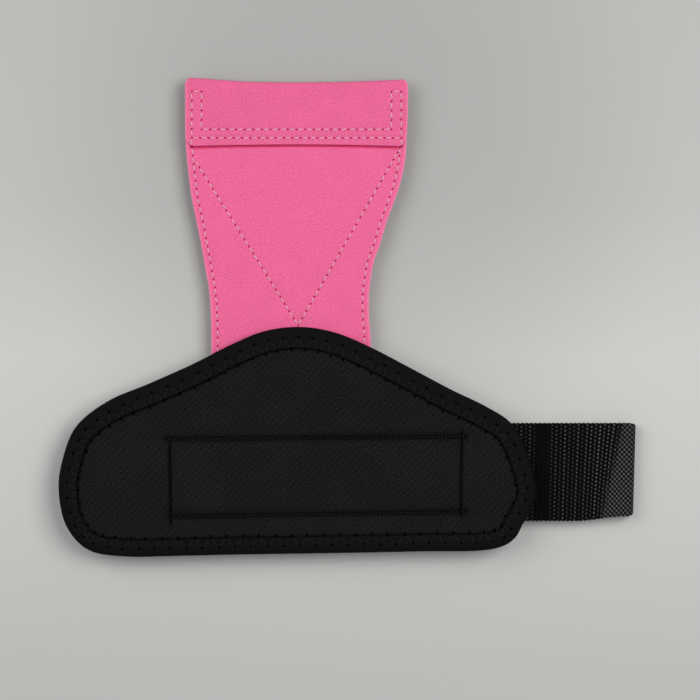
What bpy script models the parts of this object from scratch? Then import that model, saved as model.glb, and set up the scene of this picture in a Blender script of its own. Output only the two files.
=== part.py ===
"""Wrist support brace, lying open and flat with its skin side up.

A padded wrist wrap carries a two-layer palm flap, a webbing strap and a ring for that strap.
Lengths are in millimetres here; add() turns them into metres. +Z is up, and +X runs along the strap.
"""

import math

import bmesh
import bpy
import numpy as np

MM = 0.001

# Hinge lines, where one soft piece is cut into the bodies that turn against each other
LEFT_WING_X = -58.0
RIGHT_WING_X = 14.5
WING_GAP = 0.2
FLAP_ROOT_Y = -1.9
FLAP_BEND_Y = 30.0
FINGER_BEND_Y = 55.0
FLAP_GAP = 1.35
STRAP_HINGE_X = 76.5
STRAP_GAP = 1.0

# Wrist pad, seen from above, going round from its left end
PAD_POINTS = [
    (-112.6, -67.4), (-111.0, -55.0), (-105.6, -42.2), (-93.2, -32.4), (-77.2, -25.6), (-60.6, -18.2),
    (-45.6, -10.6), (-32.2, -5.2), (-18.4, -3.6), (-4.8, -5.8), (9.2, -11.6), (24.2, -19.4),
    (40.0, -27.8), (54.4, -34.8), (64.2, -41.6), (70.2, -53.0), (73.7, -67.0), (71.3, -75.0),
    (68.2, -80.8), (65.2, -86.0), (59.6, -89.4), (50.2, -90.9), (30.0, -91.1), (5.2, -91.6),
    (-20.2, -92.0), (-45.2, -92.4),
    (-68.2, -92.9), (-86.2, -93.1), (-100.8, -90.6), (-109.6, -81.2),
]
PAD_STATIONS = 84
LAYER_INSET = 0.95
SHELL = (7.75, 8.25)
CORE = (8.5, 11.5)
LINING = (11.75, 12.25)
PAD_LOW = 7.0
PAD_HIGH = 13.0

# Folded tape bound round the pad's edge
BINDING_WIDTH = 7.2
BINDING_THICK = 0.5
BINDING_ROUND = 0.8

# Palm flap: its side edges as (y, x), from the folded finger end down to its root under the pad
FLAP_LEFT = [
    (93.2, -62.2), (92.6, -63.0), (91.4, -63.4), (69.0, -63.4), (59.6, -62.6), (47.1, -61.1),
    (37.8, -59.1), (28.4, -57.2), (19.0, -55.6), (12.8, -54.4), (6.5, -53.7), (-2.8, -53.3),
    (-12.6, -53.2), (-77.5, -52.4),
]
FLAP_RIGHT = [
    (93.2, 22.4), (92.6, 23.2), (91.4, 23.6), (78.3, 23.6), (62.7, 22.8), (56.5, 21.7), (50.3, 20.1),
    (44.0, 17.8), (37.8, 15.4), (28.4, 12.7), (22.2, 10.3), (15.9, 9.2), (9.7, 8.4), (0.3, 8.4),
    (-5.9, 9.0), (-12.6, 9.2), (-77.5, 8.8),
]
FLAP_TOP = 93.2
FLAP_DIP = 1.2
FLAP_FOOT = -77.5
FLAP_LAYER = 0.9
BACK_Z = 5.15
FACE_Z = 6.3
HEM_Z = 7.45
HEM_EDGE_Y = 67.2
HEM_CHAMFER = 3.2
FLAP_STEP = 7.0
FLAP_COLUMNS = 7

# Webbing strap, 38.1 mm wide
STRAP_THICK = 1.3
STRAP_LOW_Y = -79.4
STRAP_HIGH_Y = -41.3
STRAP_WING_Z = 6.1
STRAP_CENTRE_Z = 3.8
STRAP_RAMP = 4.0
STRAP_END_X = 112.6
TAIL_Z = 0.65
TAIL_END_X = -36.0
TAB_END_X = -61.0

# Rectangular wire ring in the folded tab of the strap
RING_WIRE = 3.0
RING_BAR_X = -84.0
RING_BAR_Z = 3.7
RING_DEPTH = 10.0
RING_INNER_WIDTH = 40.0
RING_CORNER = 3.0
TAB_CLEARANCE = 0.25

# Hook patch on the tail and loop patch under the pad
PATCH_MARGIN = 2.0
HOOK_X = (-35.0, -6.0)
HOOK = (1.55, 2.15)
LOOP_X = (-50.0, 6.0)
LOOP = (2.4, 2.9)

# Lines of stitching, each built as one thin raised run of thread
THREAD_WIDTH = 0.8
THREAD_HEIGHT = 0.35
THREAD_GAP = 0.12
EDGE_STITCH_INSET = 2.4
V_STITCH_POINT = (-19.3, 1.0)
V_STITCH_LEFT = (-58.6, 60.4)
V_STITCH_RIGHT = (18.0, 62.0)
HEM_STITCH_OUTER = (-60.8, 21.0, 70.2)
HEM_STITCH_INNER = (-57.0, 17.2, 73.5)
HEM_STITCH_TOP = 88.3
BOX_STITCH_X = (-69.2, 44.5)
BOX_STITCH_TOP = (-47.3, -46.3)
BOX_STITCH_FOOT = (-77.5, -75.6)

# name: (red, green, blue, metallic, roughness), in linear light
LOOKS = {
    "lining_fabric": (0.011, 0.011, 0.010, 0.0, 0.9),
    "foam_core": (0.03, 0.03, 0.032, 0.0, 0.95),
    "shell_fabric": (0.014, 0.014, 0.015, 0.0, 0.85),
    "binding_tape": (0.007, 0.007, 0.007, 0.0, 0.8),
    "webbing": (0.018, 0.018, 0.018, 0.0, 0.7),
    "microfibre_face": (0.80, 0.133, 0.296, 0.0, 0.85),
    "microfibre_back": (0.74, 0.115, 0.262, 0.0, 0.85),
    "pink_thread": (0.86, 0.42, 0.56, 0.0, 0.6),
    "black_thread": (0.02, 0.02, 0.02, 0.0, 0.6),
    "steel": (0.62, 0.62, 0.63, 1.0, 0.28),
    "hook_tape": (0.012, 0.012, 0.012, 0.0, 0.6),
    "loop_tape": (0.016, 0.016, 0.016, 0.0, 0.95),
}


def clear_scene():
    for obj in list(bpy.data.objects):
        bpy.data.objects.remove(obj, do_unlink=True)


def make_looks():
    made = {}
    for name, (red, green, blue, metallic, roughness) in LOOKS.items():
        look = bpy.data.materials.new(name)
        look.use_nodes = True
        shader = look.node_tree.nodes["Principled BSDF"]
        shader.inputs["Base Color"].default_value = (red, green, blue, 1.0)
        shader.inputs["Metallic"].default_value = metallic
        shader.inputs["Roughness"].default_value = roughness
        look.diffuse_color = (red, green, blue, 1.0)
        made[name] = look
    return made


def add(name, mesh, look):
    """Turns a bmesh in millimetres into an object of the scene, with its faces pointing out."""
    bmesh.ops.recalc_face_normals(mesh, faces=mesh.faces)
    bmesh.ops.scale(mesh, vec=(MM, MM, MM), verts=mesh.verts)
    data = bpy.data.meshes.new(name)
    mesh.to_mesh(data)
    mesh.free()
    data.materials.append(look)
    bpy.context.scene.collection.objects.link(bpy.data.objects.new(name, data))


def smooth_loop(points, count):
    """Points at equal steps along a closed Catmull-Rom curve through the given ones."""
    here = np.array(points, float)
    before, after, beyond = (np.roll(here, shift, axis=0) for shift in (1, -1, -2))
    t = np.linspace(0, 1, 16, endpoint=False)[:, None, None]
    square = 2 * before - 5 * here + 4 * after - beyond
    cube = 3 * here - before - 3 * after + beyond
    fine = 0.5 * (2 * here + (after - before) * t + square * t**2 + cube * t**3)
    fine = fine.transpose(1, 0, 2).reshape(-1, 2)
    fine = np.vstack([fine, fine[:1]])
    along = np.concatenate([[0], np.cumsum(np.hypot(*np.diff(fine, axis=0).T))])
    at = np.linspace(0, along[-1], count, endpoint=False)
    return np.column_stack([np.interp(at, along, fine[:, k]) for k in (0, 1)])


def rounded_box(x0, x1, y0, y1, radius, steps=4):
    """Clockwise outline of a rectangle with rounded corners."""
    points = []
    corners = [(x0, y1, 180), (x1, y1, 90), (x1, y0, 0), (x0, y0, 270)]
    for x, y, start in corners:
        centre_x = x + radius if x == x0 else x - radius
        centre_y = y + radius if y == y0 else y - radius
        for step in range(steps + 1):
            angle = math.radians(start - 90 * step / steps)
            points.append((centre_x + radius * math.cos(angle), centre_y + radius * math.sin(angle)))
    return np.array(points)


def inset(outline, distance):
    """The clockwise outline moved inwards."""
    along = np.roll(outline, -1, axis=0) - np.roll(outline, 1, axis=0)
    along /= np.hypot(*along.T)[:, None]
    return outline + distance * np.column_stack([along[:, 1], -along[:, 0]])


def plate(outline, low, high):
    """Flat layer with the given outline."""
    mesh = bmesh.new()
    count = len(outline)
    rings = [[mesh.verts.new((x, y, z)) for x, y in outline] for z in (low, high)]
    for ring in rings:
        mesh.faces.new(ring)
    for i in range(count):
        j = (i + 1) % count
        mesh.faces.new((rings[0][i], rings[0][j], rings[1][j], rings[1][i]))
    return mesh


def swept_ring(outline, section):
    """Closed section of (distance in from the outline, height), carried round the outline."""
    mesh = bmesh.new()
    rails = [
        [mesh.verts.new((x, y, z)) for x, y in inset(outline, distance)] for distance, z in section
    ]
    for rail, next_rail in zip(rails, rails[1:] + rails[:1]):
        for i in range(len(outline)):
            j = (i + 1) % len(outline)
            mesh.faces.new((rail[i], rail[j], next_rail[j], next_rail[i]))
    return mesh


def sides_of(path, thickness, closed):
    """The two sides of a path of even thickness."""
    path = np.array(path, float)
    steps = np.roll(path, -1, axis=0) - path
    steps /= np.maximum(np.hypot(*steps.T), 1e-9)[:, None]
    normals = np.column_stack([-steps[:, 1], steps[:, 0]])
    before = np.roll(normals, 1, axis=0)
    if not closed:
        normals[-1] = normals[-2]
        before[0] = normals[0]
    mitre = normals + before
    mitre /= (1 + (normals * before).sum(axis=1))[:, None]
    return path + mitre * thickness / 2, path - mitre * thickness / 2


def band(path, thickness, columns, place, closed=False):
    """Sheet of even thickness along a path. place(column, a, b) gives the point of path point (a, b)."""
    mesh = bmesh.new()
    sides = sides_of(path, thickness, closed)
    grid = [
        [[mesh.verts.new(place(column, a, b)) for column in columns] for a, b in side]
        for side in sides
    ]
    stations, last = len(path), len(columns) - 1
    for i in range(stations if closed else stations - 1):
        j = (i + 1) % stations
        for side in grid:
            for c in range(last):
                mesh.faces.new((side[i][c], side[j][c], side[j][c + 1], side[i][c + 1]))
        for c in (0, last):
            mesh.faces.new((grid[0][i][c], grid[0][j][c], grid[1][j][c], grid[1][i][c]))
    for i in () if closed else (0, stations - 1):
        for c in range(last):
            mesh.faces.new((grid[0][i][c], grid[0][i][c + 1], grid[1][i][c + 1], grid[1][i][c]))
    return mesh


def keep(mesh, axis, low, high):
    """Cuts the mesh off outside low and high on one axis and closes the cuts."""
    for at, outwards in ((low, -1), (high, 1)):
        if at is None:
            continue
        point, normal = [0.0, 0.0, 0.0], [0.0, 0.0, 0.0]
        point[axis], normal[axis] = at, outwards
        everything = mesh.verts[:] + mesh.edges[:] + mesh.faces[:]
        cut = bmesh.ops.bisect_plane(
            mesh, geom=everything, dist=1e-6, plane_co=point, plane_no=normal, clear_outer=True
        )
        rim = [part for part in cut["geom_cut"] if isinstance(part, bmesh.types.BMEdge)]
        if rim:
            bmesh.ops.edgeloop_fill(mesh, edges=rim)
    return mesh


def arc(centre, radius, start, end, steps):
    """Points of an arc, with its angles in degrees."""
    angles = np.radians(np.linspace(start, end, steps + 1))
    return [(centre[0] + radius * math.cos(a), centre[1] + radius * math.sin(a)) for a in angles]


def stations(start, end, step):
    return np.linspace(start, end, max(2, round(abs(end - start) / step) + 1))


WING_SPANS = {
    "left": (None, LEFT_WING_X - WING_GAP),
    "centre": (LEFT_WING_X + WING_GAP, RIGHT_WING_X - WING_GAP),
    "right": (RIGHT_WING_X + WING_GAP, None),
}


def build_pad_layers(looks):
    outline = inset(smooth_loop(PAD_POINTS, PAD_STATIONS), LAYER_INSET)
    layers = {
        "shell": (SHELL, "shell_fabric"),
        "core": (CORE, "foam_core"),
        "lining": (LINING, "lining_fabric"),
    }
    for layer, ((low, high), look) in layers.items():
        for side, (start, end) in WING_SPANS.items():
            add(f"{layer}_{side}", keep(plate(outline, low, high), 0, start, end), looks[look])


def build_binding(looks):
    """Tape folded round the edge: a leg on each face of the pad and a wall between them."""
    outline = smooth_loop(PAD_POINTS, PAD_STATIONS)
    wide, thick, curve = BINDING_WIDTH, BINDING_THICK, BINDING_ROUND
    outside = [(wide, PAD_LOW), (curve, PAD_LOW), (curve * 0.3, PAD_LOW + curve * 0.3)]
    outside += [(0, PAD_LOW + curve), (0, PAD_HIGH - curve), (curve * 0.3, PAD_HIGH - curve * 0.3)]
    outside += [(curve, PAD_HIGH), (wide, PAD_HIGH)]
    inside = [(wide, PAD_HIGH - thick), (curve, PAD_HIGH - thick), (thick, PAD_HIGH - curve)]
    inside += [(thick, PAD_LOW + curve), (curve, PAD_LOW + thick), (wide, PAD_LOW + thick)]
    split_y = (STRAP_LOW_Y + STRAP_HIGH_Y) / 2
    for side, (start, end) in WING_SPANS.items():
        halves = {"_top": (split_y, None), "_foot": (None, split_y)} if side == "centre" else {"": None}
        for half, span in halves.items():
            mesh = keep(swept_ring(outline, outside + inside), 0, start, end)
            if span:
                keep(mesh, 1, *span)
            add(f"binding_{side}{half}", mesh, looks["binding_tape"])


def flap_edges(y):
    """The x of the flap's two side edges at y."""
    edges = [np.array(edge[::-1]) for edge in (FLAP_LEFT, FLAP_RIGHT)]
    return [float(np.interp(y, edge[:, 0], edge[:, 1])) for edge in edges]


def place_on_flap(column, y, z):
    """column runs from 0 at the left edge to 1 at the right edge. The finger end dips in its middle."""
    left, right = flap_edges(y)
    if z > (FACE_Z + HEM_Z) / 2 and y < HEM_EDGE_Y + HEM_CHAMFER:
        cut = HEM_EDGE_Y + HEM_CHAMFER - y
        left, right = left + cut, right - cut
    rise = np.clip((y - FINGER_BEND_Y) / (FLAP_TOP - FINGER_BEND_Y), 0, 1) ** 2
    dip = FLAP_DIP * rise * (1 - (2 * column - 1) ** 2)
    return (left + (right - left) * column, y - dip, z)


def flap_spans():
    """The y span of each length of the flap. The fixed side of a hinge stands back from it."""
    return {
        "root": (FLAP_FOOT, FLAP_ROOT_Y - FLAP_GAP),
        "palm": (FLAP_ROOT_Y, FLAP_BEND_Y - FLAP_GAP),
        "bend": (FLAP_BEND_Y, FINGER_BEND_Y - FLAP_GAP),
    }


def build_flap(looks):
    columns = np.linspace(0, 1, FLAP_COLUMNS)
    for length, (start, end) in flap_spans().items():
        for layer, z in (("back", BACK_Z), ("face", FACE_Z)):
            path = [(y, z) for y in stations(start, end, FLAP_STEP)]
            mesh = band(path, FLAP_LAYER, columns, place_on_flap)
            add(f"flap_{length}_{layer}", mesh, looks[f"microfibre_{layer}"])
    turn = (HEM_Z - BACK_Z) / 2
    fold_y = FLAP_TOP - turn - FLAP_LAYER / 2
    path = [(y, BACK_Z) for y in stations(FINGER_BEND_Y, fold_y, FLAP_STEP)[:-1]]
    path += arc((fold_y, (BACK_Z + HEM_Z) / 2), turn, -90, 90, 8)
    path += [(y, HEM_Z) for y in stations(fold_y, HEM_EDGE_Y + HEM_CHAMFER, FLAP_STEP)[1:]]
    path += [(HEM_EDGE_Y, HEM_Z)]
    mesh = band(path, FLAP_LAYER, columns, place_on_flap)
    add("flap_finger_back_and_hem", mesh, looks["microfibre_back"])
    path = [(y, FACE_Z) for y in stations(FINGER_BEND_Y, fold_y - 0.3, FLAP_STEP)]
    add("flap_finger_face", band(path, FLAP_LAYER, columns, place_on_flap), looks["microfibre_face"])


def strap_piece(path):
    return band(path, STRAP_THICK, (STRAP_LOW_Y, STRAP_HIGH_Y), lambda y, x, z: (x, y, z))


def build_strap(looks):
    high, low, mid = STRAP_WING_Z, STRAP_CENTRE_Z, (STRAP_WING_Z + TAIL_Z) / 2
    turn = (STRAP_WING_Z - TAIL_Z) / 2
    fold_x = STRAP_END_X - turn - STRAP_THICK / 2
    left, right = WING_SPANS["centre"]
    around = (RING_WIRE + STRAP_THICK) / 2 + TAB_CLEARANCE
    tab_z = STRAP_WING_Z - STRAP_THICK - TAB_CLEARANCE
    tab = [(LEFT_WING_X - WING_GAP, high)]
    tab += arc((RING_BAR_X, RING_BAR_Z), around, 90, 270, 12)
    tab += [(RING_BAR_X + 2, RING_BAR_Z - around), (RING_BAR_X + 8, tab_z), (TAB_END_X, tab_z)]
    pieces = {
        "ring_tab": tab,
        "centre": [
            (left, high), (left + 0.7, high), (left + STRAP_RAMP, low), (right - STRAP_RAMP, low),
            (right - 0.7, high), (right, high),
        ],
        "right": [(RIGHT_WING_X + WING_GAP, high), (STRAP_HINGE_X - STRAP_GAP, high)],
        "free": [(STRAP_HINGE_X, high), (fold_x - 0.2, high)],
        "fold": arc((fold_x, mid), turn, 90, -90, 14),
        "tail": [(fold_x - 0.2, TAIL_Z), (TAIL_END_X, TAIL_Z)],
    }
    for name, path in pieces.items():
        add(f"strap_{name}", strap_piece(path), looks["webbing"])


def build_ring(looks):
    radius = RING_WIRE / 2
    middle = (STRAP_LOW_Y + STRAP_HIGH_Y) / 2
    half = RING_INNER_WIDTH / 2 + RING_WIRE
    outline = rounded_box(
        RING_BAR_X - RING_DEPTH - radius, RING_BAR_X + radius, middle - half, middle + half, RING_CORNER
    )
    section = arc((radius, RING_BAR_Z), radius, 0, 330, 11)
    add("ring", swept_ring(outline, section), looks["steel"])


def build_patches(looks):
    across = (STRAP_LOW_Y + PATCH_MARGIN, STRAP_HIGH_Y - PATCH_MARGIN)
    for name, span, (low, high) in (("hook", HOOK_X, HOOK), ("loop", LOOP_X, LOOP)):
        outline = rounded_box(*span, *across, 2.0)
        add(f"{name}_patch", plate(outline, low, high), looks[f"{name}_tape"])


def add_thread(name, path, surface, look, closed=False):
    """Flat run of thread on a level surface, along a path seen from above."""
    low = surface + THREAD_GAP
    mesh = band(
        path, THREAD_WIDTH, (low, low + THREAD_HEIGHT), lambda z, x, y: (x, y, z), closed=closed
    )
    add(name, mesh, look)


def on_line(start, end, y):
    """The point at y on the line through start and end."""
    share = (y - start[1]) / (end[1] - start[1])
    return (start[0] + share * (end[0] - start[0]), y)


def build_flap_stitches(looks):
    look = looks["pink_thread"]
    face = FACE_Z + FLAP_LAYER / 2
    hem = HEM_Z + FLAP_LAYER / 2
    (x0, x3, y0), (x1, x2, y1), top = HEM_STITCH_OUTER, HEM_STITCH_INNER, HEM_STITCH_TOP
    double_row = [(x0, top), (x1, top), (x1, y1), (x2, y1), (x2, top), (x3, top), (x3, y0), (x0, y0)]
    add_thread("hem_stitch", double_row, hem, look, closed=True)
    palm_end, bend_end = FLAP_BEND_Y - FLAP_GAP, FINGER_BEND_Y - FLAP_GAP
    runs = {
        "palm": (FLAP_ROOT_Y + 2.6, palm_end),
        "bend": (FLAP_BEND_Y, bend_end),
        "finger": (FINGER_BEND_Y, HEM_EDGE_Y - 0.6),
    }
    for length, (start, end) in runs.items():
        for side, edge, inwards in (("left", 0, 1), ("right", 1, -1)):
            path = [
                (flap_edges(y)[edge] + inwards * EDGE_STITCH_INSET, y)
                for y in stations(start, end, FLAP_STEP)
            ]
            add_thread(f"edge_stitch_{side}_{length}", path, face, look)
    tops = {"left": V_STITCH_LEFT, "right": V_STITCH_RIGHT}
    left, right = (on_line(V_STITCH_POINT, top, palm_end) for top in tops.values())
    add_thread("v_stitch_palm", [left, V_STITCH_POINT, right], face, look)
    for side, top in tops.items():
        bend = [on_line(V_STITCH_POINT, top, y) for y in (FLAP_BEND_Y, bend_end)]
        add_thread(f"v_stitch_{side}_bend", bend, face, look)
        finger = [on_line(V_STITCH_POINT, top, FINGER_BEND_Y), top]
        add_thread(f"v_stitch_{side}_finger", finger, face, look)


def build_box_stitches(looks):
    """The rectangle sewn through the pad and the strap, in one run for each body it crosses."""
    look, surface = looks["black_thread"], LINING[1]
    x0, x1 = BOX_STITCH_X

    def corner(x, heights):
        return (x, float(np.interp(x, BOX_STITCH_X, heights)))

    left, right = LEFT_WING_X - WING_GAP, RIGHT_WING_X + WING_GAP
    for side, cut, end in (("left", left, x0), ("right", right, x1)):
        path = [corner(cut, BOX_STITCH_TOP), corner(end, BOX_STITCH_TOP)]
        path += [corner(end, BOX_STITCH_FOOT), corner(cut, BOX_STITCH_FOOT)]
        add_thread(f"box_stitch_{side}", path, surface, look)
    for name, heights in (("top", BOX_STITCH_TOP), ("foot", BOX_STITCH_FOOT)):
        path = [corner(x, heights) for x in WING_SPANS["centre"]]
        add_thread(f"box_stitch_{name}", path, surface, look)


def main():
    clear_scene()
    looks = make_looks()
    build_pad_layers(looks)
    build_binding(looks)
    build_flap(looks)
    build_strap(looks)
    build_ring(looks)
    build_patches(looks)
    build_flap_stitches(looks)
    build_box_stitches(looks)


main()
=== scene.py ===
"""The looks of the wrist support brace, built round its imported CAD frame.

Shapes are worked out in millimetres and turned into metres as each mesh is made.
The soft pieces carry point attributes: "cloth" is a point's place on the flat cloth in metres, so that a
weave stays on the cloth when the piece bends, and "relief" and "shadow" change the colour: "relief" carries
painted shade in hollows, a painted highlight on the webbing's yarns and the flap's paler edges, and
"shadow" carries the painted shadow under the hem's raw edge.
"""

import math

import bpy
import numpy as np
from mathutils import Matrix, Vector
from mathutils.geometry import delaunay_2d_cdt


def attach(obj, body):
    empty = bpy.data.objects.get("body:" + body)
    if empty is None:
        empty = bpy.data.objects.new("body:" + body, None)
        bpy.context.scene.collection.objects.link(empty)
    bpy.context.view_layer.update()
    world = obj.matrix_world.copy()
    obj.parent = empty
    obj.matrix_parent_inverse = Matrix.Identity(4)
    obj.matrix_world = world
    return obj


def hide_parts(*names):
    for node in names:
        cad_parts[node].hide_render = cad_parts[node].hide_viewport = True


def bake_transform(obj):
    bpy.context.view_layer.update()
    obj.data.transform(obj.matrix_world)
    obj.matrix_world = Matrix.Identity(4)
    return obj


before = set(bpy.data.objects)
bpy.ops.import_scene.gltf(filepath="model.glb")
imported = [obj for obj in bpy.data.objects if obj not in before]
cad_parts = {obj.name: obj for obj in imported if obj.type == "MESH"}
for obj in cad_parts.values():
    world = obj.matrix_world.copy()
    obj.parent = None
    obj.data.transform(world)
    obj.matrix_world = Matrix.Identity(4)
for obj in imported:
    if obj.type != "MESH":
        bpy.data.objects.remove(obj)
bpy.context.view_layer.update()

MM = 0.001
RANDOM = np.random.default_rng(7)

# ---- Shapes that follow the CAD source, some of them moved a little for looks ----
PAD_POINTS = [
    (-112.6, -67.4), (-111.0, -55.0), (-105.6, -42.2), (-93.2, -32.4), (-77.2, -25.6), (-60.6, -18.2),
    (-45.6, -10.6), (-32.2, -5.2), (-18.4, -3.6), (-4.8, -5.8), (9.2, -11.6), (24.2, -19.4),
    (40.0, -27.8), (54.4, -34.8), (64.2, -41.6), (70.2, -53.0), (73.7, -67.0), (71.3, -75.0),
    (68.2, -80.8), (65.2, -86.0), (59.6, -89.4), (50.2, -90.9), (30.0, -91.1), (5.2, -91.6),
    (-20.2, -92.0), (-45.2, -92.4),
    (-68.2, -92.9), (-86.2, -93.1), (-100.8, -90.6), (-109.6, -81.2),
]
# The flap's edges as (y, x)
FLAP_LEFT = [
    (93.2, -61.7), (92.3, -62.7), (90.9, -63.5), (69.0, -63.4), (59.6, -62.6), (47.1, -61.1),
    (37.8, -59.1), (28.4, -57.2), (19.0, -55.6), (12.8, -54.4), (6.5, -53.7), (-2.8, -53.3),
    (-12.6, -53.2), (-77.5, -52.4),
]
FLAP_RIGHT = [
    (93.2, 21.9), (92.3, 22.9), (90.9, 23.7), (78.3, 23.6), (62.7, 22.8), (56.5, 21.7), (50.3, 20.1),
    (44.0, 17.8), (37.8, 15.4), (28.4, 12.7), (22.2, 10.3), (15.9, 9.2), (9.7, 8.4), (0.3, 8.4),
    (-5.9, 9.0), (-12.6, 9.2), (-77.5, 8.8),
]
FLAP_TOP = 93.2
FLAP_FOOT = -77.5
FLAP_LAYER = 1.0
BACK_Z = 5.15
FACE_Z = 6.2
HEM_Z = 7.3
HEM_EDGE_Y = 67.0
HEM_CHAMFER = 2.4
STRAP_LOW_Y = -79.4
STRAP_HIGH_Y = -41.3
STRAP_THICK = 1.3
WING_STRAP_Z = 6.1
CENTRE_STRAP_Z = 3.8
TAIL_Z = 0.65
FOLD_X = 109.225
# The ring: its bar through the tab as (x, z), and its size along the middle of its wire
RING_BAR = (-84.0, 3.7)
WIRE_RADIUS = 1.5
RING_DEPTH = 10.0
RING_HALF_WIDTH = 21.5
RING_CORNER = 2.6
# The hem's two rows of stitches as left x, right x and foot y
HEM_OUTER = (-60.8, 21.0, 70.2)
HEM_INNER = (-57.0, 17.2, 73.5)
HEM_STITCH_TOP = 88.3
V_POINT = (-19.3, -3.0)
V_LEFT = (-59.6, 61.6)
V_RIGHT = (19.6, 64.6)
# The sewn rectangle: its ends' x, and y at the left and right end of its long sides
BOX_X = (-69.2, 44.5)
BOX_TOP = (-47.3, -46.3)
BOX_FOOT = (-77.5, -75.6)

# ---- Soft shapes that only the looks have ----
FLAP_DIP = 1.2  # the finger end's middle lies this far back from its corners
LEFT_CORNER_REACH = 0.7
DIP_FROM_Y = 55.0
HEM_BOW = 0.8
HEM_BOW_REACH = 14.0
SHEET_ROUNDING = 0.45
FLAP_SEAM_DEPTH = 0.26
FLAP_SEAM_WIDTH = 0.85
STITCH_PITCH = 3.3
STITCH_SHARE = 0.56
STITCH_SLANT = 9.0
OUTLINE_STEP = 0.55
LINING_Z = 12.2
SHELL_Z = 7.65
WALL_INSET = 1.5
BINDING_TOP_Z = 12.95
BINDING_FOOT_Z = 7.0
BINDING_ROUNDING = 3.0
BINDING_REACH = 9.5
ZIGZAG_PITCH = 6.3
STRAP_STEP = 0.34
COLUMN_PITCH = 1.72
BUMP_PITCH = 1.55
TWILL_PITCH = (1.8, 2.0)

# ---- Where pieces are cut, and zones around the joins ----
PAD_CUT_X = -19.4
FLAP_CUTS_Y = (14.0, 42.5)
STRAP_CUTS_X = (55.0, 95.0)
LEFT_BEND = ((-53.5, 0, 0), (-77.0, 0, 0))
RIGHT_BEND = ((9.6, 0, 0), (33.0, 0, 0))
ROOT_BEND = ((0, -3.2, 0), (0, 11.5, 0))
PALM_BEND = ((0, 19.0, 0), (0, 41.0, 0))
FINGER_BEND = ((0, 44.0, 0), (0, 66.0, 0))
STRAP_BEND = ((75.5, 0, 0), (88.0, 0, 0))
FOLD_BEND = ((0, 0, 5.4), (0, 0, 1.35))


# ---- Curves and distances ----
def smooth_loop(points, step):
    """Points about one step apart along a closed Catmull-Rom curve through the given ones."""
    here = np.array(points, float)
    before, after, beyond = (np.roll(here, shift, axis=0) for shift in (1, -1, -2))
    t = np.linspace(0, 1, 24, endpoint=False)[:, None, None]
    square = 2 * before - 5 * here + 4 * after - beyond
    cube = 3 * here - before - 3 * after + beyond
    fine = 0.5 * (2 * here + (after - before) * t + square * t**2 + cube * t**3)
    fine = fine.transpose(1, 0, 2).reshape(-1, 2)
    return even_steps(np.vstack([fine, fine[:1]]), step)[:-1]


def distances(path):
    """How far along a path each of its points is."""
    return np.concatenate([[0], np.cumsum(np.linalg.norm(np.diff(path, axis=0), axis=1))])


def even_steps(path, step):
    """The path cut into equal lengths of about one step."""
    path = np.asarray(path, float)
    along = distances(path)
    at = np.linspace(0, along[-1], max(2, int(round(along[-1] / step)) + 1))
    return np.column_stack([np.interp(at, along, path[:, k]) for k in range(path.shape[1])])


def turned(run, degrees):
    """A vector in plan, turned anticlockwise."""
    turn = math.radians(degrees)
    return np.array([
        run[0] * math.cos(turn) - run[1] * math.sin(turn),
        run[0] * math.sin(turn) + run[1] * math.cos(turn),
    ])


def nearest(points, samples):
    """The distance from each point to the closest sample, in plan."""
    found = np.empty(len(points))
    for start in range(0, len(points), 3000):
        gap = points[start:start + 3000, None, :2] - samples[None, :, :2]
        found[start:start + 3000] = np.sqrt((gap**2).sum(-1).min(1))
    return found


def hump(distance, width):
    return np.exp(-((distance / width) ** 2))


def smoothstep(low, high, value):
    t = np.clip((value - low) / (high - low), 0, 1)
    return t * t * (3 - 2 * t)


def edge_table(edge):
    """A flap edge as even steps in y, rounded between its points but sharp at the finger end."""
    y = np.arange(FLAP_FOOT, FLAP_TOP + 0.05, 0.1)
    points = np.array(edge[::-1])
    sharp = np.interp(y, points[:, 0], points[:, 1])
    kernel = np.hanning(81)
    soft = np.convolve(np.pad(sharp, 40, mode="edge"), kernel / kernel.sum(), mode="valid")
    return y, np.where(y > 88, sharp, soft + (sharp - soft) * smoothstep(80, 88, y))


FLAP_EDGES = [edge_table(FLAP_LEFT), edge_table(FLAP_RIGHT)]


def flap_edge(side, y):
    table = FLAP_EDGES[side]
    return np.interp(y, table[0], table[1])


# ---- Meshes ----
def make_piece(name, verts, faces, looks, cloth=None, raise_by=None, look_of_face=None, sharp=None):
    """A mesh object in metres from points in millimetres."""
    data = bpy.data.meshes.new(name)
    data.from_pydata((np.asarray(verts) * MM).tolist(), [], faces)
    for look in looks:
        data.materials.append(look)
    if cloth is not None:
        flat = np.zeros((len(verts), 3), np.float32)
        flat[:, :2] = np.asarray(cloth) * MM
        data.attributes.new("cloth", "FLOAT_VECTOR", "POINT").data.foreach_set("vector", flat.ravel())
    if raise_by is not None:
        data.attributes.new("relief", "FLOAT", "POINT").data.foreach_set(
            "value", np.asarray(raise_by, np.float32)
        )
    data.polygons.foreach_set("use_smooth", np.ones(len(data.polygons), bool))
    if look_of_face is not None:
        data.polygons.foreach_set("material_index", np.asarray(look_of_face, np.int32))
    if sharp is not None:
        flat_points = np.zeros(len(verts), bool)
        flat_points[sharp] = True
        ends = np.empty(len(data.edges) * 2, np.int32)
        data.edges.foreach_get("vertices", ends)
        data.edges.foreach_set("use_edge_sharp", flat_points[ends.reshape(-1, 2)].all(axis=1))
    data.validate()
    obj = bpy.data.objects.new(name, data)
    bpy.context.scene.collection.objects.link(obj)
    return obj


def quads_of(index, flip=False):
    """Quads between the rows and columns of a grid of point numbers."""
    quads = np.stack([index[:-1, :-1], index[:-1, 1:], index[1:, 1:], index[1:, :-1]], axis=-1)
    quads = quads.reshape(-1, 4)
    return (quads[:, ::-1] if flip else quads).tolist()


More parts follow.
